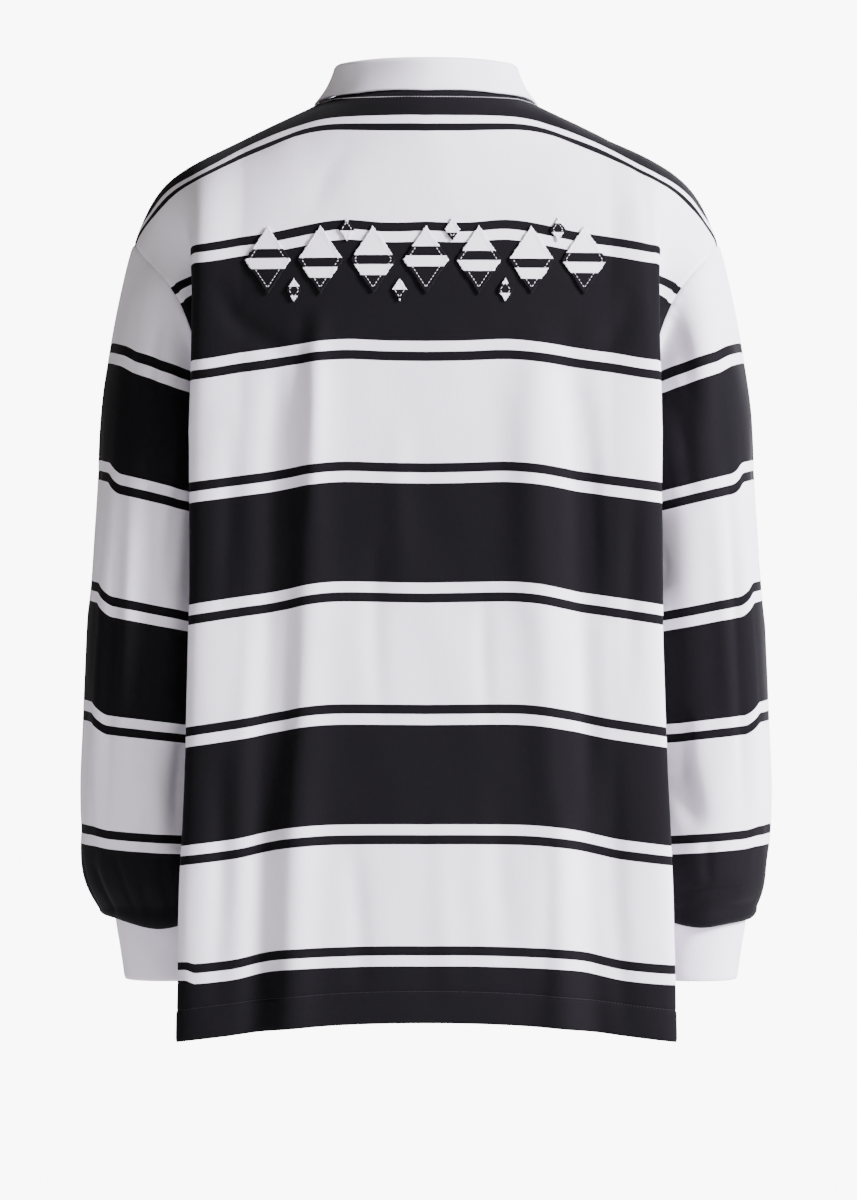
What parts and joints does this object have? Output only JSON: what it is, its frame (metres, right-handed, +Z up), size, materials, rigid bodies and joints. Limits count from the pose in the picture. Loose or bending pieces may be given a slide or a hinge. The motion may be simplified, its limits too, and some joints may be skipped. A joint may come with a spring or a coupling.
{
  "type": "long-sleeve polo shirt",
  "caption": "Long-sleeve polo shirt kept in its worn, hollow form, with a fold-over knit collar, buttoned placket, rib cuffs, side vents and bold cross stripes.",
  "frame": {"origin": "middle of the neck opening, level with the high points of the shoulders, where the wearer's neck comes through", "axes": "+Z up the wearer, -Y out of the wearer's chest, +X to the wearer's left"},
  "size_m": [0.5694, 0.2493, 0.7936],
  "materials": {
    "jersey": "smooth heavy cotton jersey, black and white cross stripes",
    "rib": "white rib knit",
    "applique": "striped jersey patches with raw edges and white running stitch",
    "button": "white pearl button"
  },
  "bodies": {
    "root": {"back_panel": "jersey", "front_panel": "jersey", "sleeve_left": "jersey", "sleeve_right": "jersey", "cuff_left": "rib", "cuff_right": "rib", "collar": "rib", "placket_under": "jersey", "placket_top": "jersey", "button_1": "button", "button_2": "button", "button_3": "button", "lozenge_01": "applique", "lozenge_02": "applique", "lozenge_03": "applique", "lozenge_04": "applique", "lozenge_05": "applique", "lozenge_06": "applique", "lozenge_07": "applique", "lozenge_08": "applique", "lozenge_09": "applique", "lozenge_10": "applique", "lozenge_11": "applique", "lozenge_12": "applique", "lozenge_13": "applique"}
  },
  "joints": []
}
